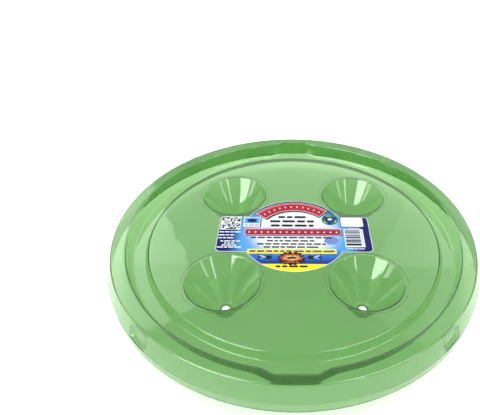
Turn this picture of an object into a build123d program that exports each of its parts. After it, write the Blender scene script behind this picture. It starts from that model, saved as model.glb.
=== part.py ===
"""Fly and wasp trap lid: a one-piece pressed plastic lid with four entry funnels, and its label.

The lid drops over the rim of a round pail. Insects walk down the funnels into the pail and
don't find the small holes again. Millimetres, +Z up, origin under the centre of the lid on
the plane that the funnel tips stand on.
"""

import os
from math import atan2, cos, radians, sin, sqrt

from build123d import *

# ---- Lid shell: the sheet, and its heights ------------------------------------------------
sheet = 0.8                 # plastic sheet after pressing
lid_height = 44.0           # funnel tips to the top of the rim
groove_depth = 13.7         # rim top down to the groove floor
panel_rise = 6.3            # groove floor up to the centre panel
skirt_drop = 15.0           # rim top down to the start of the hem
hem_drop = 8.2              # straight band along the skirt's lower edge

# ---- Lid shell: radii and widths, all on the upper or outer face ---------------------------
rim_radius = 157.5          # outer edge of the flat rim
rim_width = 12.0            # flat rim, with the pail's bead under it
wall_draft = 3.2            # how far the rim's inner wall leans in on its way down
groove_width = 11.3         # flat floor of the groove
panel_draft = 3.0           # how far the step up to the panel leans in
skirt_flare = 5.5           # how far the skirt leans out on its way down to the hem
corner_radius = 1.6         # rounded corners of the pressing
hem_corner_radius = 3.0     # rounded change from skirt to hem

# ---- Rim notches: a flat-walled pocket in the rim's inner wall, front and back --------------
notch_count = 2
notch_depth = 3.1           # rim's inner edge out to the pocket's flat wall
notch_flat = 28.8           # length of the flat wall
notch_mouth = 47.2          # length along the rim's inner edge
notch_draft = 4.0           # degrees of lean on the pocket's walls

# ---- Stacking lugs: recesses in the skirt that keep nested lids from jamming ----------------
lug_count = 4
lug_first_angle = 45.0
lug_width = 17.0
lug_height = 9.0
lug_depth = 2.4
lug_drop = 8.6              # rim top down to the middle of the lug
lug_corner = 2.0
lug_draft = 35.0            # degrees of slope on the recess's sides

# ---- Funnels ----------------------------------------------------------------------------------
funnel_count = 4
funnel_first_angle = 45.0
funnel_circle = 82.7        # radius of the circle through the funnels' axes
funnel_mouth = 30.7         # inside radius at the panel
funnel_throat = 8.2         # inside radius at the tip
throat_corner = 1.2         # rounded corner between the cone and the tip's floor
hole_radius = 4.0
lip_radius = 6.0            # foot of the raised lip round the hole
lip_height = 2.0            # tip's floor up to the edge of the hole
lip_corner = 0.5

# ---- Label ------------------------------------------------------------------------------------
label_thickness = 0.15
label_length = 137.5        # end to end over both tabs
label_corner = 4.5
label_disc_gap = 3.6        # round middle to the funnels' mouths
label_band_gap = 3.7        # tabs to the mouths on either side

# ---- Heights and radii that follow from the sizes above ---------------------------------------
rim_top = lid_height
groove_top = rim_top - groove_depth
panel_top = groove_top + panel_rise
hem_top = rim_top - skirt_drop
hem_bottom = hem_top - hem_drop
rim_inner = rim_radius - rim_width
groove_outer = rim_inner - wall_draft
groove_inner = groove_outer - groove_width
panel_radius = groove_inner - panel_draft
hem_radius = rim_radius + skirt_flare
funnel_spacing = 2 * funnel_circle * sin(radians(180 / funnel_count))
label_disc = funnel_circle - funnel_mouth - label_disc_gap
label_band = funnel_spacing - 2 * (funnel_mouth + label_band_gap)
clear = 5.0                 # how far cutting shapes reach past what they cut

# Upper face of the pressing, from the axis out to the lower edge of the hem.
upper_face = [
    (0, panel_top),
    (panel_radius, panel_top),
    (groove_inner, groove_top),
    (groove_outer, groove_top),
    (rim_inner, rim_top),
    (rim_radius, rim_top),
    (hem_radius, hem_top),
    (hem_radius, hem_bottom),
]
upper_corners = [corner_radius] * 5 + [hem_corner_radius]

# Inner face of a funnel, from the panel down the cone and up to the edge of the hole.
funnel_face = [
    (funnel_mouth, panel_top),
    (funnel_throat, sheet),
    (lip_radius, sheet),
    (hole_radius, sheet + lip_height),
]
funnel_corners = [throat_corner, lip_corner]


def notch_sketch(number, wall):
    """Outline of a notch at the rim's top, facing down and grown outward by a wall."""
    front = Plane(origin=(0, 0, rim_top), x_dir=(1, 0, 0), z_dir=(0, 0, -1))
    mouth_reach = sqrt(rim_inner**2 - (notch_mouth / 2) ** 2)
    inner_reach = groove_outer - groove_width / 2
    with BuildSketch(front.rotated((0, 0, number * 360 / notch_count))) as outline:
        with BuildLine():
            Polyline(
                (notch_mouth / 2, inner_reach),
                (notch_mouth / 2, mouth_reach),
                (notch_flat / 2, rim_inner + notch_depth),
                (-notch_flat / 2, rim_inner + notch_depth),
                (-notch_mouth / 2, mouth_reach),
                (-notch_mouth / 2, inner_reach),
                close=True,
            )
        make_face()
        if wall:
            offset(amount=wall / cos(radians(notch_draft)), kind=Kind.INTERSECTION)
    return outline.sketch


def lug_sketch(number, wall):
    """Outline of a lug on the skirt's outer face, facing into the lid and grown by a wall."""
    lean = atan2(skirt_flare, skirt_drop)
    reach = rim_radius + skirt_flare * lug_drop / skirt_drop
    turn = radians(lug_first_angle + number * 360 / lug_count)
    middle = (reach * cos(turn), reach * sin(turn), rim_top - lug_drop)
    inward = (-cos(lean) * cos(turn), -cos(lean) * sin(turn), -sin(lean))
    grown = wall / cos(radians(lug_draft))
    with BuildSketch(Plane(origin=middle, x_dir=(-sin(turn), cos(turn), 0), z_dir=inward)) as outline:
        RectangleRounded(lug_width + 2 * grown, lug_height + 2 * grown, lug_corner + grown)
    return outline.sketch


os.makedirs("parts", exist_ok=True)

# ---- Everything under the pressing's upper face ---------------------------------------------
with BuildPart() as under_upper_face:
    with BuildSketch(Plane.XZ):
        with BuildLine():
            FilletPolyline(*upper_face, radius=upper_corners)
            Polyline((hem_radius, hem_bottom), (0, hem_bottom), (0, panel_top))
        make_face()
    revolve(axis=Axis.Z)
    for number in range(notch_count):
        extrude(notch_sketch(number, 0), groove_depth, taper=notch_draft, mode=Mode.SUBTRACT)
    for number in range(lug_count):
        extrude(lug_sketch(number, 0), lug_depth, taper=lug_draft, mode=Mode.SUBTRACT)

# ---- Everything under its lower face, one sheet further in -----------------------------------
with BuildPart() as under_lower_face:
    with BuildSketch(Plane.XZ):
        with BuildLine():
            FilletPolyline(*upper_face, radius=upper_corners)
            offset(amount=sheet, side=Side.RIGHT, closed=False)
            Polyline(
                (hem_radius - sheet, hem_bottom),
                (hem_radius - sheet, hem_bottom - clear),
                (0, hem_bottom - clear),
                (0, panel_top - sheet),
            )
        make_face()
    revolve(axis=Axis.Z)
    for number in range(notch_count):
        extrude(notch_sketch(number, sheet), groove_depth + sheet, taper=notch_draft, mode=Mode.SUBTRACT)
    for number in range(lug_count):
        extrude(lug_sketch(number, sheet), lug_depth + sheet, taper=lug_draft, mode=Mode.SUBTRACT)

# ---- One funnel on the Z axis: its pressed wall, and the space inside it ---------------------
with BuildPart() as funnel_wall:
    with BuildSketch(Plane.XZ):
        with BuildLine():
            FilletPolyline(*funnel_face, radius=funnel_corners)
            offset(amount=sheet, side=Side.LEFT)
        make_face()
    revolve(axis=Axis.Z)

with BuildPart() as funnel_space:
    with BuildSketch(Plane.XZ):
        with BuildLine():
            FilletPolyline(*funnel_face, radius=funnel_corners)
            Polyline(
                (hole_radius, sheet + lip_height),
                (0, sheet + lip_height),
                (0, panel_top),
                (funnel_mouth, panel_top),
            )
        make_face()
    revolve(axis=Axis.Z)

# ---- Lid shell -------------------------------------------------------------------------------
with BuildPart() as lid_shell:
    add(under_upper_face.part)
    add(under_lower_face.part, mode=Mode.SUBTRACT)
    with PolarLocations(funnel_circle, funnel_count, funnel_first_angle):
        add(funnel_wall.part)
        add(funnel_space.part, mode=Mode.SUBTRACT)
        Cylinder(hole_radius, 2 * clear, mode=Mode.SUBTRACT)
lid_shell.part.label = "lid_shell"
export_step(lid_shell.part, "parts/lid_shell.step")

# ---- Label, stuck to the middle of the panel ---------------------------------------------------
with BuildPart() as label:
    with BuildSketch(Plane.XY.offset(panel_top)):
        Circle(label_disc)
        RectangleRounded(label_length, label_band, label_corner)
    extrude(amount=label_thickness)
label.part.label = "label"
export_step(label.part, "parts/label.step")
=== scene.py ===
"""Looks of a fly and wasp trap lid: a pressed clear green plastic lid with four funnels, and its label.

The lid is one thin sheet, so its visual mesh is one surface with an even wall. The label is a
printed film stuck to the middle of the panel. Sizes are millimetres and become metres where a mesh
is made. Angles count from +X towards +Y, +Z is up, and the funnel tips stand on z = 0.
"""

import logging
import math
from dataclasses import dataclass, field
from enum import Enum

import bpy
import numpy as np
from mathutils import Matrix, Vector
from mathutils.geometry import delaunay_2d_cdt


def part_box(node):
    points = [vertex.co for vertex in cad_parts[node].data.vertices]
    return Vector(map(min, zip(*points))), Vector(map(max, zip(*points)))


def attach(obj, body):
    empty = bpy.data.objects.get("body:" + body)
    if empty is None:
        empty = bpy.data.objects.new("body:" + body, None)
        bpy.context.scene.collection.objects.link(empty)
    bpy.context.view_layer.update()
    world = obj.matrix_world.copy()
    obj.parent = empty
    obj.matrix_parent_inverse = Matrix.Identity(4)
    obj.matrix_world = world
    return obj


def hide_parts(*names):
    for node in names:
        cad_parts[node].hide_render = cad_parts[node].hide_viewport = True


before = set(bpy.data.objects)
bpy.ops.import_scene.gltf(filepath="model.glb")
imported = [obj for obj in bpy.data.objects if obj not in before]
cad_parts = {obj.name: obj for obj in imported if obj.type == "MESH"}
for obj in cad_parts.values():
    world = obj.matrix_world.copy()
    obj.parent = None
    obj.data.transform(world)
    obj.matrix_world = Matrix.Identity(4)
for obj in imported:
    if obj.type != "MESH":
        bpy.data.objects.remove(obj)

LOG = logging.getLogger("trap_lid")
Socket = bpy.types.NodeSocket
MM = 0.001
FULL_TURN = 360.0
QUARTERS = np.array([45.0, 135.0, 225.0, 315.0])  # angles of the funnels and of the lugs, in degrees
POCKETS = np.array([90.0, 270.0])  # angles of the rim's notches, in degrees
CDT_INSIDE = 1  # keep only the triangles that outlines enclose


class Slot(Enum):
    """Names of the record's material slots, which nothing in this script reads."""

    SHEET = "green_sheet"
    FILM = "printed_film"


# ---- Mesh helpers ----


def new_piece(name: str, vertices: np.ndarray, faces: list) -> bpy.types.Object:
    """Make a mesh object from points in millimetres, at the origin and unscaled.

    Args:
        name: Name of the object and its mesh.
        vertices: Points, shape (n, 3), in millimetres.
        faces: Index tuples, three or four each.

    Returns:
        The new object, linked to the scene.
    """
    mesh = bpy.data.meshes.new(name)
    mesh.from_pydata((vertices * MM).tolist(), [], faces)
    mesh.update()
    piece = bpy.data.objects.new(name, mesh)
    bpy.context.scene.collection.objects.link(piece)
    return piece


def grid_faces(rows: int, columns: int, first: int = 0, closed: bool = True) -> np.ndarray:
    """Index quads of a grid of points stored row by row.

    Args:
        rows: Points along the first parameter, which closes on itself if closed is true.
        columns: Points along the second parameter.
        first: Index of the grid's first point.
        closed: Whether the last row joins the first.

    Returns:
        Quads, shape (n, 4).
    """
    spans = rows if closed else rows - 1
    row, column = np.meshgrid(np.arange(spans), np.arange(columns - 1), indexing="ij")
    after = (row + 1) % rows
    corners = [row * columns + column, after * columns + column,
               after * columns + column + 1, row * columns + column + 1]
    return np.stack([c.ravel() for c in corners], axis=1) + first


def smooth_step(value: np.ndarray) -> np.ndarray:
    """Ease from 0 to 1: the cubic 3t^2 - 2t^3, held flat outside."""
    t = np.clip(value, 0.0, 1.0)
    return t * t * (3.0 - 2.0 * t)


def rounded_section(corners: np.ndarray, radii: list[float], straights: list[np.ndarray],
                    arc_steps: int) -> np.ndarray:
    """Round the corners of many sections at once.

    Each inner corner becomes a circular arc that touches both its straights: the arc's centre lies on
    the corner's bisector, and points between the two touching points follow by spherical interpolation.

    Args:
        corners: Corner points, shape (sections, corners, 2).
        radii: One radius for each inner corner.
        straights: For each straight, the shares from 0 to 1 where points lie between its ends.
        arc_steps: Steps along each arc.

    Returns:
        Points, shape (sections, points, 2).
    """
    inner = corners[:, 1:-1]
    before = corners[:, :-2] - inner
    after = corners[:, 2:] - inner
    before /= np.linalg.norm(before, axis=2, keepdims=True)
    after /= np.linalg.norm(after, axis=2, keepdims=True)
    half = np.arccos(np.clip((before * after).sum(2), -1.0, 1.0)) / 2.0
    radius = np.asarray(radii)[None, :]
    reach = (radius / np.tan(half))[..., None]
    bisector = (before + after) / np.linalg.norm(before + after, axis=2, keepdims=True)
    centre = inner + bisector * (radius / np.sin(half))[..., None]
    start, end = inner + before * reach, inner + after * reach
    sweep = (math.pi - 2.0 * half)[..., None, None]
    share = np.linspace(0.0, 1.0, arc_steps + 1)[None, None, :, None]
    spokes = (np.sin((1.0 - share) * sweep) * (start - centre)[:, :, None]
              + np.sin(share * sweep) * (end - centre)[:, :, None]) / np.sin(sweep)
    arcs = centre[:, :, None] + spokes
    pieces = []
    for number, shares in enumerate(straights):
        near = corners[:, 0] if number == 0 else end[:, number - 1]
        far = corners[:, -1] if number == len(straights) - 1 else start[:, number]
        along = np.asarray(shares)[None, :, None]
        pieces.append(near[:, None] * (1.0 - along) + far[:, None] * along)
        if number < len(straights) - 1:
            pieces.append(arcs[:, number])
    return np.concatenate(pieces, axis=1)


def turned(section: np.ndarray, angles: np.ndarray) -> np.ndarray:
    """Carry sections round the Z axis: x = r cos a, y = r sin a, z = z.

    Args:
        section: Points (r, z), shape (angles, points, 2).
        angles: One angle in degrees for each section.

    Returns:
        Points, shape (angles, points, 3).
    """
    a = np.radians(angles)[:, None]
    radius, height = section[..., 0], section[..., 1]
    return np.stack([radius * np.cos(a), radius * np.sin(a), height], axis=2)


# ---- Node helpers ----


class Nodes:
    """A material's node tree with short calls for the nodes that the finishes need."""

    def __init__(self, name: str) -> None:
        """Start an empty material.

        Args:
            name: The material's name.
        """
        self.material = bpy.data.materials.new(name)
        self.material.use_nodes = True
        self.tree = self.material.node_tree
        self.tree.nodes.clear()

    def add(self, kind: str, inputs: dict[str | int, object] | None = None,
            **settings: object) -> bpy.types.Node:
        """Add a node, set its properties and feed its inputs.

        Args:
            kind: The node's type name.
            inputs: What each input gets: a socket is linked, and a number, vector or colour is set.
            **settings: Properties of the node.

        Returns:
            The new node.
        """
        node = self.tree.nodes.new(kind)
        for key, value in settings.items():
            setattr(node, key, value)
        for key, value in (inputs or {}).items():
            socket = node.inputs[key]
            if isinstance(value, Socket):
                self.tree.links.new(value, socket)
            else:
                socket.default_value = (*value, 1.0) if socket.type == "RGBA" else value
        return node

    def noise(self, size: float, detail: float = 2.0, roughness: float = 0.5,
              stretch: tuple[float, float, float] = (1.0, 1.0, 1.0)) -> Socket:
        """Noise value of a given grain size.

        Args:
            size: Size of the grain in millimetres.
            detail: Number of finer layers.
            roughness: Share of the finer layers.
            stretch: Factor on each axis of the place that the noise reads.

        Returns:
            The noise value's socket, from 0 to 1.
        """
        place = self.add("ShaderNodeTexCoord").outputs["Object"]
        mapping = self.add("ShaderNodeMapping", {"Vector": place, "Scale": stretch})
        noise = self.add("ShaderNodeTexNoise", {"Vector": mapping.outputs["Vector"], "Detail": detail,
                                                "Scale": 1.0 / (size * MM), "Roughness": roughness})
        return noise.outputs["Fac"]

    def spread(self, value: Socket, source: tuple[float, float], target: tuple[float, float]) -> Socket:
        """Map a value from one range to another, held at the ends.

        Args:
            value: The socket to read.
            source: Lowest and highest value read.
            target: What they become.

        Returns:
            The mapped value's socket.
        """
        names = ("Value", "From Min", "From Max", "To Min", "To Max")
        inputs = dict(zip(names, (value, *source, *target)))
        return self.add("ShaderNodeMapRange", inputs).outputs["Result"]

    def blend(self, share: object, first: object, second: object) -> Socket:
        """Mix two colours.

        Args:
            share: Socket or number, the share of the second colour.
            first: Socket or colour.
            second: Socket or colour.

        Returns:
            The mixed colour's socket.
        """
        return self.add("ShaderNodeMix", {0: share, 6: first, 7: second}, data_type="RGBA").outputs[2]

    def bump(self, height: Socket, depth: float, under: Socket | None = None) -> Socket:
        """A bump of a given depth.

        Args:
            height: Socket from 0 to 1.
            depth: Depth in millimetres.
            under: Normal of a bump below this one.

        Returns:
            The normal's socket.
        """
        inputs = {"Strength": 1.0, "Distance": depth * MM, "Height": height}
        if under is not None:
            inputs["Normal"] = under
        return self.add("ShaderNodeBump", inputs).outputs["Normal"]

    def show(self, shader: Socket) -> bpy.types.Material:
        """Join the shader to the output and return the material."""
        self.add("ShaderNodeOutputMaterial", {"Surface": shader})
        return self.material


# ---- Finishes ----


@dataclass(frozen=True)
class ClearSheet:
    """Clear green tinted plastic sheet, glossy as pressed.

    Each pass through the sheet keeps the tint's share of the light. Lamps reach what is under the
    sheet through a plain tinted window, so that its shadow is light and green. Sizes and depths are
    millimetres.
    """

    tint: tuple[float, float, float] = (0.255, 0.465, 0.20)
    refraction: float = 1.55
    roughness: float = 0.03
    scuffed: float = 0.09
    scuff_size: float = 7.0
    cloud_size: float = 60.0
    cloud: tuple[float, float, float] = (0.94, 0.98, 0.93)
    window_share: float = 0.92
    wave_size: float = 20.0
    wave_depth: float = 0.09
    streak_size: float = 9.0
    streak_depth: float = 0.012
    streak_stretch: tuple[float, float, float] = (1.0, 1.0, 7.0)
    grain_size: float = 2.2
    grain_depth: float = 0.003

    def material(self, name: str) -> bpy.types.Material:
        """Build the material.

        Args:
            name: The material's name.

        Returns:
            The material.
        """
        nodes = Nodes(name)
        cloudy = nodes.spread(nodes.noise(self.cloud_size, 2.0), (0.3, 0.7), (0.0, 1.0))
        deep = tuple(c * f for c, f in zip(self.tint, self.cloud))
        scuffs = nodes.noise(self.scuff_size, 6.0, 0.65)
        waves = nodes.bump(nodes.noise(self.wave_size, 1.0), self.wave_depth)
        streak = nodes.noise(self.streak_size, 3.0, 0.5, self.streak_stretch)
        streaks = nodes.bump(streak, self.streak_depth, waves)
        glass = nodes.add("ShaderNodeBsdfPrincipled", {
            "Base Color": nodes.blend(cloudy, self.tint, deep),
            "Roughness": nodes.spread(scuffs, (0.55, 0.78), (self.roughness, self.scuffed)),
            "IOR": self.refraction,
            "Transmission Weight": 1.0,
            "Normal": nodes.bump(nodes.noise(self.grain_size, 2.0), self.grain_depth, streaks),
        })
        window = nodes.add("ShaderNodeBsdfTransparent", {
            "Color": tuple(math.sqrt(self.window_share * c) for c in self.tint)})
        ray = nodes.add("ShaderNodeLightPath").outputs
        share = nodes.add("ShaderNodeMath", {0: ray["Is Shadow Ray"], 1: ray["Is Diffuse Ray"]},
                          operation="MAXIMUM").outputs[0]
        mix = nodes.add("ShaderNodeMixShader", {0: share, 1: glass.outputs[0], 2: window.outputs[0]})
        return nodes.show(mix.outputs[0])


@dataclass(frozen=True)
class PaleFloor:
    """Matt white table that is also lit from inside, which keeps shadows on it light."""

    colour: tuple[float, float, float] = (0.93, 0.935, 0.93)
    roughness: float = 0.75
    glow: float = 0.5

    def material(self) -> bpy.types.Material:
        """Build the material.

        Returns:
            The material.
        """
        nodes = Nodes("pale_floor")
        surface = nodes.add("ShaderNodeBsdfPrincipled", {
            "Base Color": self.colour,
            "Roughness": self.roughness,
            "Emission Color": (1.0, 1.0, 1.0),
            "Emission Strength": self.glow,
        })
        return nodes.show(surface.outputs[0])


# ---- Lid shell ----


@dataclass
class LidShell:
    """The pressed lid: panel, groove, rim, skirt and hem in one sheet, with four funnels."""

    height: float
    hem_radius: float
    sheet: float = 0.8
    groove_depth: float = 13.7
    panel_rise: float = 6.3
    skirt_drop: float = 15.0
    hem_drop: float = 8.2
    skirt_flare: float = 5.5
    rim_width: float = 12.0
    wall_draft: float = 3.2
    groove_width: float = 11.3
    panel_draft: float = 3.0
    corner_radius: float = 1.6
    hem_corner_radius: float = 3.0
    seam_gap: float = 3.0
    notch_depth: float = 3.1
    notch_flat: float = 28.8
    notch_mouth: float = 47.2
    notch_draft: float = 4.0
    notch_blend: float = 0.9
    lug_width: float = 17.0
    lug_height: float = 9.0
    lug_depth: float = 2.4
    lug_drop: float = 8.6
    lug_slope: float = 3.2
    funnel_circle: float = 82.7
    funnel_mouth: float = 30.7
    mouth_corner: float = 1.0
    funnel_throat: float = 8.2
    throat_corner: float = 1.2
    hole_radius: float = 4.0
    lip_radius: float = 6.0
    lip_height: float = 2.0
    lip_corner: float = 0.5
    # Height of the hem's lowest band of faces, which is painted with the dark edge finish as shade.
    hem_shade_band: float = 0.6
    even_step: float = 1.25
    funnel_step: float = 3.0
    arc_steps: int = 5
    sharp_angle: float = 40.0
    finish: ClearSheet = field(default_factory=ClearSheet)
    # Darker green for the cut edges. The same finish paints a dark shade line along the hem's foot.
    edge_and_hem_shade_finish: ClearSheet = field(default_factory=lambda: ClearSheet(tint=(0.07, 0.20, 0.05)))

    def __post_init__(self) -> None:
        """Work out the radii and heights that follow from the sizes."""
        self.rim_radius = self.hem_radius - self.skirt_flare
        self.rim_inner = self.rim_radius - self.rim_width
        self.groove_outer = self.rim_inner - self.wall_draft
        self.groove_inner = self.groove_outer - self.groove_width
        self.panel_radius = self.groove_inner - self.panel_draft
        self.seam_radius = self.panel_radius - self.seam_gap
        self.groove_top = self.height - self.groove_depth
        self.panel_top = self.groove_top + self.panel_rise
        self.hem_top = self.height - self.skirt_drop
        self.hem_bottom = self.hem_top - self.hem_drop

    def angles(self) -> np.ndarray:
        """Angles of the ring's sections: even, and closer where a lug or a notch changes shape.

        The close stretches run a degree each side of a lug's side, and over a notch's slanted wall.

        Returns:
            Rising angles in degrees.
        """
        even = np.arange(0.0, FULL_TURN, self.even_step)
        lug_side = math.degrees(self.lug_width / 2.0 / self.rim_radius)
        close = []
        for middles, side in ((QUARTERS, np.arange(lug_side - 0.9, lug_side + 1.0, 0.15)),
                              (POCKETS, np.arange(4.2, 10.8, 0.3))):
            close.append((middles[:, None] + np.concatenate([side, -side])).ravel())
        every = np.sort(np.concatenate([even, *close]) % FULL_TURN)
        nearest = 0.05
        return every[np.insert(np.diff(every) > nearest, 0, True)]

    def notched(self, angles: np.ndarray, radius: float, shrink: float) -> np.ndarray:
        """Radius of the rim's inner wall, pushed out to the notches' flat walls.

        A notch's outline is a flat at a fixed distance and a slanted line at each side. A ray from
        the axis meets a line at its distance over the cosine of the angle to the line's normal. The
        wall is the larger of the round radius and the nearest of the lines, eased by a moving mean.

        Args:
            angles: Angles in degrees.
            radius: Radius of the wall away from the notches.
            shrink: How far the notch's outline has drawn in at this depth.

        Returns:
            One radius for each angle.
        """
        fine_step, reached, least_cosine = 0.05, 25.0, 0.05
        fine = np.arange(-180.0, 180.0, fine_step)
        a = np.radians(fine)
        reach = self.rim_inner + self.notch_depth
        mouth_reach = math.sqrt(self.rim_inner ** 2 - (self.notch_mouth / 2.0) ** 2)
        run = np.array([(self.notch_mouth - self.notch_flat) / 2.0, mouth_reach - reach])
        normal = np.array([-run[1], run[0]]) / np.linalg.norm(run)
        lean = math.atan2(normal[0], normal[1])
        distance = normal @ np.array([self.notch_flat / 2.0, reach])
        side = (distance - shrink) / np.maximum(np.cos(np.abs(a) - lean), least_cosine)
        flat = (reach - shrink) / np.maximum(np.cos(a), least_cosine)
        pocket = np.where(np.abs(fine) < reached, np.minimum(flat, side), radius)
        wall = np.maximum(radius, pocket)
        window = np.hanning(2 * round(self.notch_blend / fine_step) + 3)
        wall = np.convolve(np.pad(wall, len(window) // 2, mode="edge"), window / window.sum(), "valid")
        from_notch = angles % 180.0 - 90.0
        return np.interp(from_notch, fine, wall)

    def lug_dent(self, angles: np.ndarray, drop: np.ndarray) -> np.ndarray:
        """How far the lugs dent the skirt: a flat-bottomed recess with eased sides.

        The depth is the full depth times one easing across the width and one across the height.

        Args:
            angles: Angles in degrees, shape (n, 1).
            drop: Depth below the rim's top, shape (n, m).

        Returns:
            Depth in millimetres, shape (n, m).
        """
        across = np.radians(np.abs(angles % 90.0 - 45.0)) * self.rim_radius
        along = np.abs(drop - self.lug_drop)
        wide, high = (smooth_step((size / 2.0 - place) / self.lug_slope + 0.5)
                      for size, place in ((self.lug_width, across), (self.lug_height, along)))
        return self.lug_depth * wide * high

    def ring(self) -> np.ndarray:
        """The ring outside the panel: a rounded section carried round the axis.

        The section's two wall corners follow the notches, and its skirt is pushed in by the lugs.

        Returns:
            Points, shape (angles, points, 3).
        """
        angles = self.angles()
        shrink = self.groove_depth * math.tan(math.radians(self.notch_draft))
        foot = self.notched(angles, self.groove_outer, shrink)
        edge = self.notched(angles, self.rim_inner, 0.0)
        places = ((self.seam_radius, self.panel_top), (self.panel_radius, self.panel_top),
                  (self.groove_inner, self.groove_top), (foot, self.groove_top),
                  (edge, self.height), (self.rim_radius, self.height),
                  (self.hem_radius, self.hem_top), (self.hem_radius, self.hem_bottom))
        even = np.ones_like(angles)
        corners = np.stack([np.stack([even * part for part in place], 1) for place in places], axis=1)
        radii = [self.corner_radius] * 5 + [self.hem_corner_radius]
        supported = np.array([0.12, 0.5, 0.88])
        straights = [np.array([0.0, 0.5, 0.9]), np.array([0.5]), supported, supported, supported,
                     np.linspace(0.04, 0.96, 17), np.array([0.12, 0.5, 0.9, 1.0])]
        section = rounded_section(corners, radii, straights, self.arc_steps)
        drop = self.height - section[..., 1]
        lean = math.atan2(self.skirt_flare, self.skirt_drop)
        on_skirt = section[..., 0] > self.rim_radius - self.corner_radius
        dent = self.lug_dent(angles[:, None], drop) * on_skirt
        section[..., 0] -= dent * math.cos(lean)
        section[..., 1] -= dent * math.sin(lean)
        return turned(section, angles)

    def funnel(self) -> np.ndarray:
        """One funnel about its own axis: a rounded section from the panel down to the hole.

        Returns:
            Points, shape (angles, points, 3).
        """
        angles = np.arange(0.0, FULL_TURN, self.funnel_step)
        corners = np.array([
            [self.funnel_mouth + self.seam_gap, self.panel_top],
            [self.funnel_mouth, self.panel_top],
            [self.funnel_throat, self.sheet],
            [self.lip_radius, self.sheet],
            [self.hole_radius, self.sheet + self.lip_height],
        ])
        radii = [self.mouth_corner, self.throat_corner, self.lip_corner]
        straights = [np.array([0.0, 0.5, 0.9]), np.linspace(0.03, 0.97, 8), np.array([0.5]),
                     np.array([0.3, 0.7, 1.0])]
        section = rounded_section(corners[None], radii, straights, self.arc_steps)
        return turned(np.repeat(section, len(angles), axis=0), angles)

    def build(self) -> bpy.types.Object:
        """Build the lid's mesh: the ring, the funnels, the flat panel between them, and the wall.

        Returns:
            The finished object.
        """
        grids, funnel = [self.ring()], self.funnel()
        for turn in np.radians(QUARTERS):
            centre = np.array([math.cos(turn), math.sin(turn), 0.0]) * self.funnel_circle
            grids.append(funnel + centre)
        points, faces, loops, first = [], [], [], 0
        for number, grid in enumerate(grids):
            rows, columns = grid.shape[:2]
            quads = grid_faces(rows, columns, first)
            faces += (quads[:, ::-1] if number == 0 else quads).tolist()
            points.append(grid.reshape(-1, 3))
            loops.append(np.arange(rows) * columns + first)
            first += rows * columns
        points = np.concatenate(points)
        faces += self.panel_faces(points, loops)
        piece = new_piece("lid_shell_sheet", points, faces)
        piece.data.materials.append(self.finish.material("clear_green_sheet"))
        piece.data.materials.append(self.edge_and_hem_shade_finish.material("clear_green_edge_and_hem_shade"))
        self.thicken(piece)
        return piece

    @staticmethod
    def panel_faces(points: np.ndarray, loops: list[np.ndarray]) -> list:
        """Fill the flat panel between its outer edge and the funnels' mouths.

        Args:
            points: All points so far.
            loops: Indices of the edge loops, the outer one first.

        Returns:
            Triangles that use those points.
        """
        index = np.concatenate(loops)
        flat = [Vector(p[:2]) for p in points[index]]
        rings = np.split(np.arange(len(index)), np.cumsum([len(loop) for loop in loops])[:-1])
        edges = np.concatenate([np.stack([ring, np.roll(ring, -1)], axis=1) for ring in rings]).tolist()
        found = delaunay_2d_cdt(flat, edges, [rings[0].tolist()], CDT_INSIDE, 1e-6)
        corner_of = [index[own[0]] for own in found[3]]
        centres = [points[loop][:, :2].mean(axis=0) for loop in loops[1:]]
        reach = np.linalg.norm(points[loops[1][0], :2] - centres[0])
        kept, inside_mouth = [], 0.995
        for face in found[2]:
            middle = np.mean([found[0][i] for i in face], axis=0)
            if min(np.linalg.norm(middle - c) for c in centres) > reach * inside_mouth:
                kept.append([int(corner_of[i]) for i in face])
        return kept

    def thicken(self, piece: bpy.types.Object) -> None:
        """Give the sheet its wall below the upper face, its darker cut edges, a painted dark shade line
        along the hem's foot, and its sharp cut edges.

        Args:
            piece: The object that holds the upper face.
        """
        edge_and_hem_shade_slot = 1
        wall = piece.modifiers.new("wall", "SOLIDIFY")
        wall.thickness = self.sheet * MM
        wall.offset = -1.0
        wall.use_even_offset = True
        wall.use_quality_normals = True
        wall.material_offset_rim = edge_and_hem_shade_slot
        solid = bpy.data.meshes.new_from_object(piece.evaluated_get(bpy.context.evaluated_depsgraph_get()))
        piece.modifiers.clear()
        piece.data = solid
        solid.name = piece.name
        faces = solid.polygons
        centres = np.empty(len(faces) * 3)
        faces.foreach_get("center", centres)
        centres = centres.reshape(-1, 3) / MM
        slots = np.empty(len(faces), dtype=np.int32)
        faces.foreach_get("material_index", slots)
        # Painted shade: the hem's lowest band of faces takes the dark edge finish, which draws a dark line
        # along its foot.
        at_hem = np.hypot(centres[:, 0], centres[:, 1]) > self.rim_radius
        slots[at_hem & (centres[:, 2] < self.hem_bottom + self.hem_shade_band)] = edge_and_hem_shade_slot
        faces.foreach_set("material_index", slots)
        solid.shade_smooth()
        solid.set_sharp_from_angle(angle=math.radians(self.sharp_angle))


# ---- Label ----


def ink(red: int, green: int, blue: int) -> tuple[float, float, float]:
    """A printing ink from its screen colour, 0 to 255 each, as linear light."""
    share = np.array([red, green, blue]) / 255.0
    return tuple(np.where(share > 0.04045, ((share + 0.055) / 1.055) ** 2.4, share / 12.92).tolist())


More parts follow.
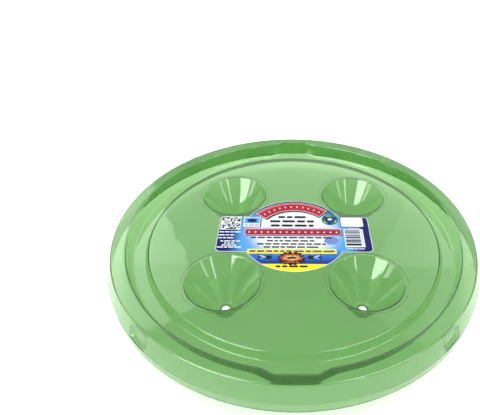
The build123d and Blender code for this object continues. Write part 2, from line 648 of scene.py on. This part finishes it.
class Ink(Enum):
    """Inks of the label. FIELD is the blended ground, whose colour follows the place."""

    FIELD = "field"
    PAPER = ink(232, 238, 244)
    NAVY = ink(2, 0, 92)
    SKY = ink(84, 158, 226)
    BLUE = ink(44, 104, 190)
    DEEP = ink(8, 36, 122)
    RED = ink(178, 16, 26)
    ROSE = ink(222, 110, 124)
    BLACK = ink(8, 7, 14)
    GREY = ink(84, 88, 100)
    SILVER = ink(176, 184, 196)
    VIOLET = ink(112, 134, 200)
    YELLOW = ink(246, 230, 14)
    STRAW = ink(238, 234, 96)
    GREEN = ink(34, 118, 48)
    LIME = ink(176, 206, 72)
    BROWN = ink(36, 14, 10)
    ORANGE = ink(190, 92, 36)
    CREAM = ink(230, 190, 140)


def arc(x: float, y: float, radius: float, start: float, end: float, steps: int = 24) -> np.ndarray:
    """Points along a circular arc, from one angle to another in degrees."""
    a = np.radians(np.linspace(start, end, steps + 1))
    return np.stack([x + radius * np.cos(a), y + radius * np.sin(a)], axis=1)


def bar(left: float, right: float, low: float, high: float, corner: float = 0.0) -> np.ndarray:
    """Outline of an upright rectangle, with round corners if asked.

    Args:
        left: Left side.
        right: Right side.
        low: Lower side.
        high: Upper side.
        corner: Radius of the corners.

    Returns:
        Points, shape (n, 2).
    """
    if not corner:
        return np.array([[right, high], [left, high], [left, low], [right, low]])
    turns = zip((right - corner, left + corner, left + corner, right - corner),
                (high - corner, high - corner, low + corner, low + corner), (0, 90, 180, 270))
    return np.concatenate([arc(x, y, corner, a, a + 90, 6) for x, y, a in turns])


def band_block(radius: float, half_height: float, start: float, end: float) -> np.ndarray:
    """Outline of a block bent along a circle round the label's middle."""
    outer = arc(0.0, 0.0, radius + half_height, start, end, 8)
    return np.concatenate([outer, arc(0.0, 0.0, radius - half_height, end, start, 8)])


def oval(x: float, y: float, long: float, wide: float, turn: float = 0.0, steps: int = 20) -> np.ndarray:
    """Outline of an ellipse.

    Args:
        x: Middle, along the label.
        y: Middle, across it.
        long: One half axis.
        wide: The other.
        turn: Angle of the first half axis, in degrees.
        steps: Number of points.

    Returns:
        Points, shape (steps, 2).
    """
    a = np.linspace(0.0, math.tau, steps, endpoint=False)
    t = math.radians(turn)
    u, v = long * np.cos(a), wide * np.sin(a)
    return np.stack([x + u * math.cos(t) - v * math.sin(t), y + u * math.sin(t) + v * math.cos(t)], 1)


def ragged(x: float, y: float, long: float, wide: float, spikes: int, bite: float) -> np.ndarray:
    """Outline of a ragged burst: an ellipse whose radius steps in at every second point.

    Args:
        x: Middle, along the label.
        y: Middle, across it.
        long: Half axis along the label.
        wide: Half axis across it.
        spikes: Number of spikes.
        bite: Share of the radius that the steps take, more or less.

    Returns:
        Points, shape (2 spikes, 2).
    """
    a = np.linspace(0.0, math.tau, 2 * spikes, endpoint=False)
    reach = 1.0 - bite * (np.arange(2 * spikes) % 2) * (1.0 + 0.35 * np.sin(5.0 * a))
    return np.stack([x + long * reach * np.cos(a), y + wide * reach * np.sin(a)], axis=1)


@dataclass(frozen=True)
class PrintedFilm:
    """Printed label film under a clear gloss: the inks, a fine print grain and a soft ripple."""

    roughness: float = 0.34
    worn: float = 0.46
    reflection: float = 0.16
    gloss: float = 0.06
    gloss_roughness: float = 0.12
    mottle_size: float = 1.1
    mottle: float = 0.04
    under_print: tuple[float, float, float] = (0.16, 0.18, 0.26)
    wear_size: float = 9.0
    ripple_size: float = 16.0
    ripple_depth: float = 0.05
    grain_size: float = 0.5
    grain_depth: float = 0.004

    def material(self) -> bpy.types.Material:
        """Build the material, whose colour is the mesh's own ink attribute.

        Returns:
            The material.
        """
        nodes = Nodes("printed_label_film")
        inks = nodes.add("ShaderNodeVertexColor", layer_name=Label.INK_LAYER)
        specks = nodes.spread(nodes.noise(self.mottle_size, 3.0), (0.3, 0.7), (0.0, self.mottle))
        wear = nodes.noise(self.wear_size, 5.0, 0.6)
        ripple = nodes.bump(nodes.noise(self.ripple_size, 1.0), self.ripple_depth)
        film = nodes.add("ShaderNodeBsdfPrincipled", {
            "Base Color": nodes.blend(specks, inks.outputs["Color"], self.under_print),
            "Roughness": nodes.spread(wear, (0.4, 0.75), (self.roughness, self.worn)),
            "Specular IOR Level": self.reflection,
            "Coat Weight": self.gloss,
            "Coat Roughness": self.gloss_roughness,
            "Normal": nodes.bump(nodes.noise(self.grain_size, 2.0), self.grain_depth, ripple),
        })
        return nodes.show(film.outputs[0])


@dataclass
class Label:
    """The die-cut label: a round middle with a tab at each side, printed with plain shapes.

    Ribbons, dashes and plain ornaments fill the places of its printing, so nothing on it can be read.
    """

    length: float
    disc: float
    low: float
    high: float
    band: float = 48.2
    corner: float = 4.5
    border: float = 0.45
    glue: float = 0.03
    lattice: float = 2.2
    seed: int = 5
    finish: PrintedFilm = field(default_factory=PrintedFilm)
    shapes: list = field(default_factory=list)

    INK_LAYER = "inks"

    def put(self, colour: Ink, outline: np.ndarray) -> None:
        """Print one closed shape over what is there."""
        self.shapes.append((colour, np.asarray(outline, dtype=float)))

    def cut_line(self, inset: float) -> np.ndarray:
        """Outline of the label: the union of a disc and a rectangle with round corners, drawn in.

        Args:
            inset: How far it is drawn in.

        Returns:
            Points, shape (n, 2).
        """
        disc, end, side = self.disc - inset, self.length / 2.0 - inset, self.band / 2.0 - inset
        corner = self.corner - inset
        meet = math.degrees(math.asin(side / disc))
        half = np.concatenate([arc(0.0, 0.0, disc, meet, 180.0 - meet, 60),
                               arc(-end + corner, side - corner, corner, 90.0, 180.0, 8),
                               arc(-end + corner, -side + corner, corner, 180.0, 270.0, 8)])
        return np.concatenate([half, -half])

    def dashes(self, colour: Ink, left: float, right: float, middle: float, height: float) -> None:
        """Print a row of plain dashes of uneven length, each with round ends.

        Args:
            colour: The ink.
            left: Where the row starts.
            right: Where it ends.
            middle: Height of the row's middle on the label.
            height: Height of a dash.
        """
        shortest, longest, least_left, gap, corner = (height * share for share in (1.6, 4.2, 2.0, 0.5, 0.4))
        x = left
        while x < right - height:
            end = min(x + self.rng.uniform(shortest, longest), right)
            end = right if right - end < least_left else end
            self.put(colour, bar(x, end, middle - 0.5 * height, middle + 0.5 * height, corner))
            x = end + gap

    def lozenge(self, x: float, y: float, outer: tuple[float, float], inner: tuple[float, float],
                turn: float = 0.0) -> None:
        """Print a navy lozenge with a white one inside, of the given half axes."""
        self.put(Ink.NAVY, oval(x, y, *outer, turn, 4))
        self.put(Ink.PAPER, oval(x, y, *inner, turn, 4))

    def print_ground(self) -> None:
        """Print the border, the blended ground, the yellow foot and the yellow banner."""
        self.put(Ink.PAPER, self.cut_line(0.0))
        self.put(Ink.FIELD, self.cut_line(self.border))
        self.put(Ink.YELLOW, arc(0.0, 0.0, self.disc - self.border, 234.5, 305.5, 30))
        self.put(Ink.STRAW, bar(-41.0, 36.5, -26.4, -20.6))
        self.put(Ink.YELLOW, bar(-40.2, 35.7, -25.8, -21.2))

    def print_title(self) -> None:
        """Print a red ribbon along the top arc and one across the middle, each with small lozenges."""
        start, end, radius, half = 141.0, 47.0, 39.8, 5.6
        shadow = band_block(radius - 0.6, half + 1.0, start + 1.2, end - 1.2) + np.array([0.6, -1.0])
        self.put(Ink.BLACK, shadow)
        self.put(Ink.PAPER, band_block(radius, half + 0.5, start + 0.7, end - 0.7))
        self.put(Ink.RED, band_block(radius, half, start, end))
        self.put(Ink.ROSE, band_block(radius + 4.0, 0.5, start - 1.5, end + 1.5))
        for turn in np.linspace(end + 6.0, start - 6.0, 11):
            x, y = (radius - 0.6) * np.array([math.cos(math.radians(turn)), math.sin(math.radians(turn))])
            self.lozenge(x, y, (2.6, 1.5), (1.6, 0.8), turn)
        left, right = -44.4, 42.0
        self.put(Ink.BLACK, bar(left + 0.3, right + 1.2, -3.2, 5.6, 0.9))
        self.put(Ink.PAPER, bar(left - 0.35, right + 0.35, -2.3, 7.0, 1.0))
        self.put(Ink.RED, bar(left, right, -1.9, 6.6, 0.9))
        self.put(Ink.ROSE, bar(left + 0.8, right - 0.8, 5.2, 5.9, 0.3))
        for x in np.linspace(left + 3.6, right - 3.6, 15):
            self.lozenge(x, 1.9, (2.3, 2.3), (1.2, 1.2))

    def print_rows(self) -> None:
        """Print the rows of dashes in the middle, on the banner, on the foot and on the tabs."""
        rows = (
            (Ink.BLACK, 3.1, ((-15.0, 11.0, 23.6), (-22.5, 18.5, 17.3), (-21.5, 18.0, 11.2))),
            (Ink.BLACK, 2.0, ((-39.0, 33.5, -5.6), (-24.5, 18.0, -9.9), (-33.0, 28.0, -14.1),
                              (-27.0, 21.0, -18.1))),
            (Ink.GREY, 2.4, ((-39.3, 35.0, -23.5),)),
            (Ink.BLACK, 2.3, ((-16.0, 11.0, -42.0),)),
            (Ink.PAPER, 1.4, ((-67.5, -48.5, 1.9), (-67.8, -54.0, -2.3), (-67.6, -54.5, -6.2),
                              (-65.5, -48.0, -10.5), (-62.0, -53.0, -13.3), (-64.0, -51.0, -15.9),
                              (-67.8, -46.5, -18.4))),
            (Ink.PAPER, 1.0, ((46.2, 61.5, -20.0),)),
        )
        for colour, height, places in rows:
            for left, right, middle in places:
                self.dashes(colour, left, right, middle, height)

    def print_left_tab(self) -> None:
        """Print the square of small blocks and the small panel with one spot."""
        cells, side = 11, 17.2 / 11.0
        self.put(Ink.PAPER, bar(-67.6, -49.2, 5.2, 23.6))
        filled = self.rng.random((cells, cells)) < 0.5
        for row, column in np.argwhere(filled):
            left, low = -67.0 + column * side, 5.8 + row * side
            self.put(Ink.BLACK, bar(left, left + side * 0.98, low, low + side * 0.98))
        self.put(Ink.BLACK, bar(-45.6, -30.4, 8.4, 22.0))
        self.put(Ink.PAPER, bar(-46.8, -31.4, 9.2, 23.2))
        self.put(Ink.SKY, bar(-46.0, -32.2, 14.2, 22.4))
        self.put(Ink.NAVY, oval(-39.1, 18.3, 4.6, 2.6))
        self.dashes(Ink.GREY, -45.6, -32.2, 11.7, 1.3)

    def print_right_tab(self) -> None:
        """Print the empty white box and the panel of lines, which lie along the label."""
        self.put(Ink.NAVY, bar(42.6, 64.4, 9.0, 24.2, 1.6))
        self.put(Ink.PAPER, bar(43.2, 63.8, 10.0, 23.6, 1.6))
        self.put(Ink.SILVER, bar(49.5, 60.0, 7.0, 8.6))
        self.put(Ink.PAPER, bar(45.0, 62.4, -17.8, 6.6))
        high = 5.6
        for number, tall in enumerate((1.3, 2.3, 0.9, 1.7, 2.6, 1.0, 2.3, 1.0, 2.6)):
            self.put(Ink.BLACK if number > 4 else Ink.GREY, bar(45.8, 59.4, high - tall, high))
            high -= tall + 0.72
        self.put(Ink.SILVER, bar(60.6, 61.5, -15.0, 4.6))

    def print_emblems(self) -> None:
        """Print the round emblem, the soft patch, the burst and the two insects."""
        emblem = np.array([33.2, 19.8])
        self.put(Ink.DEEP, oval(*emblem, 7.6, 7.6, steps=40))
        for turn in (90.0, 210.0, 330.0):
            self.put(Ink.GREEN, band_block(5.6, 1.5, turn - 48.0, turn + 40.0) + emblem)
            self.put(Ink.LIME, band_block(5.9, 0.55, turn - 10.0, turn + 24.0) + emblem)
        self.put(Ink.PAPER, oval(33.4, 20.6, 2.0, 1.6, steps=16))
        self.dashes(Ink.SILVER, 26.5, 40.0, 10.4, 0.9)
        self.put(Ink.VIOLET, oval(33.0, -9.4, 7.2, 5.9, 8.0, steps=6))
        burst = (-2.6, -31.6)
        self.put(Ink.BROWN, ragged(-2.6, -32.3, 13.0, 9.0, 15, 0.22))
        self.put(Ink.ORANGE, ragged(*burst, 10.6, 5.6, 13, 0.30))
        self.put(Ink.CREAM, ragged(*burst, 8.0, 3.4, 11, 0.45))
        self.put(Ink.BROWN, oval(*burst, 4.6, 1.3, 4.0))
        self.dashes(Ink.ORANGE, -9.0, 4.0, -37.2, 0.9)
        y = -31.0
        for side, x in ((-1.0, -25.6), (1.0, 17.4)):
            for leg in range(3):
                tip = 3.6 - 3.1 * leg
                reach = np.array([[0.0, 0.5], [-6.0, tip + 0.5], [-6.0, tip - 0.5], [0.0, -0.5]])
                for flip in (side, -side):
                    self.put(Ink.BLACK, reach * np.array([flip, 1.0]) + np.array([x, y]))
            self.put(Ink.BLACK, oval(x, y, 5.2, 2.3, 6.0 * side))
            self.put(Ink.SILVER, oval(x + 1.5 * side, y + 1.0, 3.4, 1.0, 24.0 * side))
            self.put(Ink.SKY, oval(x + 1.3 * side, y - 1.0, 3.0, 0.9, -16.0 * side))
            self.put(Ink.BLACK, oval(x - 5.0 * side, y + 0.2, 1.5, 1.4, steps=12))

    def field_colour(self, place: np.ndarray) -> np.ndarray:
        """Colour of the blended ground.

        The disc is white in the middle and turns sky blue towards its edge, navy along its top and
        deep blue above its foot. The tabs turn from sky blue to navy away from the disc.

        Args:
            place: Points on the label, shape (n, 2).

        Returns:
            Linear colours, shape (n, 3).
        """
        x, y = place.T
        reach = np.hypot(x * 0.92, (y - 2.0) * 1.05)
        top = smooth_step((np.hypot(x, y) - 35.0) / 8.0) * smooth_step((y - 18.0) / 20.0)
        colour = np.tile(Ink.PAPER.value, (len(place), 1))
        for over, share in ((Ink.SKY, smooth_step((reach - 26.0) / 17.0)),
                            (Ink.BLUE, smooth_step((-y - 20.0) / 10.0)),
                            (Ink.DEEP, smooth_step((-y - 30.0) / 9.0)),
                            (Ink.NAVY, top),
                            (Ink.NAVY, smooth_step((np.abs(x) - 45.0) / 13.0))):
            colour += (np.array(over.value) - colour) * share[:, None]
        return colour

    def layout(self) -> tuple[np.ndarray, np.ndarray]:
        """Divide the label into triangles along every printed edge.

        Returns:
            Points, shape (n, 2), and triangles, shape (m, 3).
        """
        end, side = self.length / 2.0, self.disc
        across, up = np.meshgrid(np.arange(-end, end, self.lattice), np.arange(-side, side, self.lattice))
        loose = np.stack([across.ravel(), up.ravel()], axis=1)
        points, edges, first = [loose], [], len(loose)
        for _, outline in self.shapes:
            index = np.arange(first, first + len(outline))
            edges.append(np.stack([index, np.roll(index, -1)], axis=1))
            points.append(outline)
            first += len(outline)
        flat = [Vector(p) for p in np.concatenate(points).tolist()]
        found = delaunay_2d_cdt(flat, np.concatenate(edges).tolist(), [], CDT_INSIDE, 1e-4)
        triangles = [(f[0], f[i], f[i + 1]) for f in found[2] for i in range(1, len(f) - 1)]
        return np.array([tuple(p) for p in found[0]]), np.array(triangles)

    def inked(self, points: np.ndarray, triangles: np.ndarray) -> np.ndarray:
        """Colour of every corner: the last shape that holds the triangle's middle gives its ink.

        A middle is inside an outline when a level line from it crosses the outline an odd number
        of times.

        Args:
            points: Points on the label.
            triangles: Corners of each triangle.

        Returns:
            Linear colours, shape (triangles, 3, 3).
        """
        corners = points[triangles]
        middle = corners.mean(axis=1)
        top = np.zeros(len(triangles), dtype=int)
        for number, (_, outline) in enumerate(self.shapes):
            low, high = outline.min(axis=0), outline.max(axis=0)
            near = np.flatnonzero(((middle >= low) & (middle <= high)).all(axis=1))
            x, y = middle[near].T[..., None]
            (x0, y0), (x1, y1) = outline.T, np.roll(outline, -1, axis=0).T
            spans = (y0 > y) != (y1 > y)
            rise = np.where(y1 == y0, 1.0, y1 - y0)
            crossed = spans & (x < x0 + (y - y0) * (x1 - x0) / rise)
            top[near[crossed.sum(axis=1) % 2 == 1]] = number
        order = list(Ink)
        which = np.array([order.index(colour) for colour, _ in self.shapes])[top]
        table = np.array([Ink.PAPER.value if i is Ink.FIELD else i.value for i in order])
        colours = np.repeat(table[which][:, None], 3, axis=1)
        ground = which == order.index(Ink.FIELD)
        colours[ground] = self.field_colour(corners[ground].reshape(-1, 2)).reshape(-1, 3, 3)
        return colours

    def build(self) -> bpy.types.Object:
        """Print the label and make it a thin closed slab just clear of the panel.

        Returns:
            The finished object.
        """
        self.rng = np.random.default_rng(self.seed)
        for step in (self.print_ground, self.print_left_tab, self.print_right_tab, self.print_emblems,
                     self.print_title, self.print_rows):
            step()
        points, triangles = self.layout()
        a, b, c = (points[triangles[:, i]] for i in range(3))
        ab, ac = b - a, c - a
        area = ab[:, 0] * ac[:, 1] - ab[:, 1] * ac[:, 0]
        triangles = np.where(area[:, None] < 0.0, triangles[:, ::-1], triangles)
        count = len(points)
        pairs = np.concatenate([triangles[:, [0, 1]], triangles[:, [1, 2]], triangles[:, [2, 0]]])
        _, place, uses = np.unique(np.sort(pairs, axis=1), axis=0, return_index=True, return_counts=True)
        rim = pairs[place[uses == 1]]
        walls = np.stack([rim[:, 1], rim[:, 0], rim[:, 0] + count, rim[:, 1] + count], axis=1)
        upper = np.column_stack([points, np.full(count, self.high)])
        lower = np.column_stack([points, np.full(count, self.low + self.glue)])
        faces = triangles.tolist() + (triangles[:, ::-1] + count).tolist() + walls.tolist()
        piece = new_piece("label_printed", np.concatenate([upper, lower]), faces)
        top = self.inked(points, triangles).reshape(-1, 3)
        back = np.tile(Ink.PAPER.value, (len(triangles) * 3 + len(walls) * 4, 1))
        layer = piece.data.color_attributes.new(self.INK_LAYER, "FLOAT_COLOR", "CORNER")
        inks = np.column_stack([np.concatenate([top, back]), np.ones(len(top) + len(back))])
        layer.data.foreach_set("color", inks.ravel())
        piece.data.materials.append(self.finish.material())
        return piece


# ---- Studio ----


class Use(Enum):
    """What a lamp is for: to light everything, or only to be seen in gloss."""

    LIGHT = "light"
    CARD = "card"


@dataclass(frozen=True)
class SoftBox:
    """A rectangular lamp aimed at the lid, whose light fades towards the edge of its spread.

    Angles are degrees, sizes metres, power watts. A card is only seen in gloss: it doesn't light the
    floor, so the lid's shadow stays whole.
    """

    name: str
    azimuth: float
    elevation: float
    distance: float
    width: float
    height: float
    power: float
    spread: float = 180.0
    use: Use = Use.LIGHT

    def build(self, target: Vector) -> None:
        """Place the lamp.

        Args:
            target: The point that it is aimed at.
        """
        lamp = bpy.data.lights.new(self.name, "AREA")
        lamp.shape = "RECTANGLE"
        lamp.size, lamp.size_y = self.width, self.height
        lamp.energy = self.power
        lamp.spread = math.radians(self.spread)
        holder = bpy.data.objects.new(self.name, lamp)
        a, e = math.radians(self.azimuth), math.radians(self.elevation)
        away = Vector((math.cos(a) * math.cos(e), math.sin(a) * math.cos(e), math.sin(e)))
        holder.location = target + away * self.distance
        holder.rotation_euler = away.to_track_quat("Z", "Y").to_euler()
        holder.visible_diffuse = self.use is Use.LIGHT
        bpy.context.scene.collection.objects.link(holder)


@dataclass
class Studio:
    """Floor, lamps, surrounding light and camera."""

    middle: Vector
    elevation: float = 40.025
    turn: float = -1.1188
    roll: float = 1.0377
    distance: float = 0.42535
    lens: float = 35.7335
    shift: tuple[float, float] = (-0.11336, 0.04144)
    floor_half: float = 6.0
    surround: float = 0.45
    backdrop: float = 0.95
    bounces: int = 20
    boxes: tuple[SoftBox, ...] = (
        SoftBox("window_left", -132.0, 30.0, 1.3, 0.78, 0.62, 12.0, use=Use.CARD),
        SoftBox("strip_right", -58.0, 30.0, 1.3, 0.12, 0.7, 1.5, use=Use.CARD),
        SoftBox("faint_right", -29.0, 23.0, 1.3, 0.16, 0.5, 0.8, use=Use.CARD),
        SoftBox("faint_left", 196.0, 18.0, 1.3, 0.30, 0.4, 1.2, use=Use.CARD),
        SoftBox("side_left", 187.0, 66.0, 1.8, 0.9, 0.9, 16.0),
        SoftBox("side_right", -7.0, 66.0, 1.8, 0.9, 0.9, 13.5),
        SoftBox("back_middle", 86.0, 34.0, 2.2, 1.1, 0.4, 0.03, 50.0, use=Use.CARD),
        SoftBox("back_left", 127.0, 39.0, 2.2, 1.0, 0.9, 0.62, 50.0, use=Use.CARD),
        SoftBox("back_right", 50.0, 40.0, 2.2, 1.3, 1.0, 0.4, 50.0, use=Use.CARD),
    )

    def build(self) -> None:
        """Make the floor, lamps, surroundings and camera."""
        self.floor()
        for box in self.boxes:
            box.build(self.middle)
        self.surroundings()
        self.camera()

    def floor(self) -> None:
        """A flat floor at z = 0 that curves up into a backdrop far behind.

        Its section runs level, turns through a quarter circle and rises, and is carried along X.
        """
        bend = np.radians(np.linspace(0.0, 90.0, 17))
        bend_radius = 1.5
        level = np.array([[-self.floor_half, 0.0], [-1.0, 0.0], [1.0, 0.0]])
        curve = np.stack([self.floor_half - bend_radius + bend_radius * np.sin(bend),
                          bend_radius - bend_radius * np.cos(bend)], axis=1)
        top = np.array([[self.floor_half, self.floor_half]])
        section = np.concatenate([level, curve, top])
        across = np.repeat([-self.floor_half, self.floor_half], len(section))
        points = np.column_stack([across, np.tile(section, (2, 1))]) / MM
        ground = new_piece("studio_floor", points, grid_faces(2, len(section), closed=False).tolist())
        ground.data.shade_smooth()
        ground.data.materials.append(PaleFloor().material())

    def surroundings(self) -> None:
        """Even pale light from all round, which is whiter where it is seen as the backdrop."""
        world = bpy.data.worlds.new("studio_light")
        world.use_nodes = True
        tree = world.node_tree
        background = tree.nodes["Background"]
        background.inputs["Color"].default_value = (1.0, 1.0, 1.0, 1.0)
        path = tree.nodes.new("ShaderNodeLightPath")
        level = tree.nodes.new("ShaderNodeMapRange")
        level.inputs["To Min"].default_value = self.surround
        level.inputs["To Max"].default_value = self.backdrop
        tree.links.new(path.outputs["Is Camera Ray"], level.inputs["Value"])
        tree.links.new(level.outputs["Result"], background.inputs["Strength"])
        scene = bpy.context.scene
        scene.world = world
        scene.view_settings.view_transform = "Standard"
        scene.cycles.max_bounces = scene.cycles.transmission_bounces = self.bounces

    def camera(self) -> None:
        """A camera in front of the lid and above it, turned and rolled by a degree."""
        lens = bpy.data.cameras.new("camera")
        lens.lens = self.lens
        lens.sensor_width = 36.0
        lens.shift_x, lens.shift_y = self.shift
        lens.clip_start = 0.01
        holder = bpy.data.objects.new("camera", lens)
        e, t = math.radians(self.elevation), math.radians(self.turn)
        back = Vector((math.sin(-t) * -math.cos(e), -math.cos(t) * math.cos(e), math.sin(e)))
        holder.rotation_mode = "QUATERNION"
        facing = back.to_track_quat("Z", "Y")
        spin = Matrix.Rotation(math.radians(self.roll), 4, "Z").to_quaternion()
        holder.location = self.middle + back * self.distance
        holder.rotation_quaternion = facing @ spin
        bpy.context.scene.collection.objects.link(holder)
        bpy.context.scene.camera = holder


# ---- Assembly ----


def main() -> None:
    """Build the lid and its label, then the studio."""
    logging.basicConfig(level=logging.INFO, format="%(name)s: %(message)s")
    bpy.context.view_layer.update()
    low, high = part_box("lid_shell")
    shell = LidShell(height=high.z / MM, hem_radius=(high.x - low.x) / 2.0 / MM)
    piece = shell.build()
    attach(piece, "root")
    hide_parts("lid_shell")
    LOG.info("%s: %d faces", piece.name, len(piece.data.polygons))
    low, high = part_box("label")
    label = Label(length=(high.x - low.x) / MM, disc=(high.y - low.y) / 2.0 / MM,
                  low=low.z / MM, high=high.z / MM).build()
    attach(label, "root")
    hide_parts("label")
    label.visible_shadow = False    # the lit table stays even behind the clear panel
    LOG.info("%s: %d faces", label.name, len(label.data.polygons))
    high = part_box("lid_shell")[1]
    Studio(middle=Vector((0.0, 0.0, high.z))).build()


if __name__ == "__main__":
    main()
